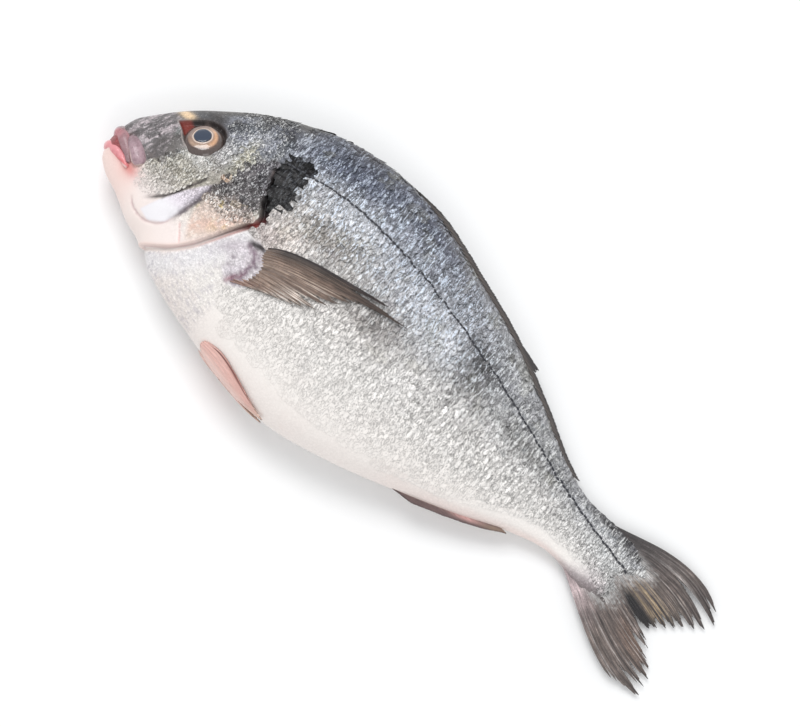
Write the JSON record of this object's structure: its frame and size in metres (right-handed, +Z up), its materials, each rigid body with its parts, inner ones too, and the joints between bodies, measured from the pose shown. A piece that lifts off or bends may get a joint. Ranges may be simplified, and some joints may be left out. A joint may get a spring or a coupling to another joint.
{
  "type": "whole raw fish",
  "caption": "Whole raw silver sea bream, uncleaned and deep-bodied, lying on its right side with its fins folded and its forked tail spread.",
  "frame": {"origin": "on the surface the fish lies on, under the centre of its outline's box", "axes": "+X from the snout to the tail, +Y from the belly to the back, +Z up, towards the left flank, which is the side that shows"},
  "size_m": [0.299, 0.1098, 0.0397],
  "materials": {
    "skin": "wet silver scales, blue-grey on the back and cream on the belly, satin to glossy"
  },
  "bodies": {
    "root": {"fish": "skin"}
  },
  "joints": []
}
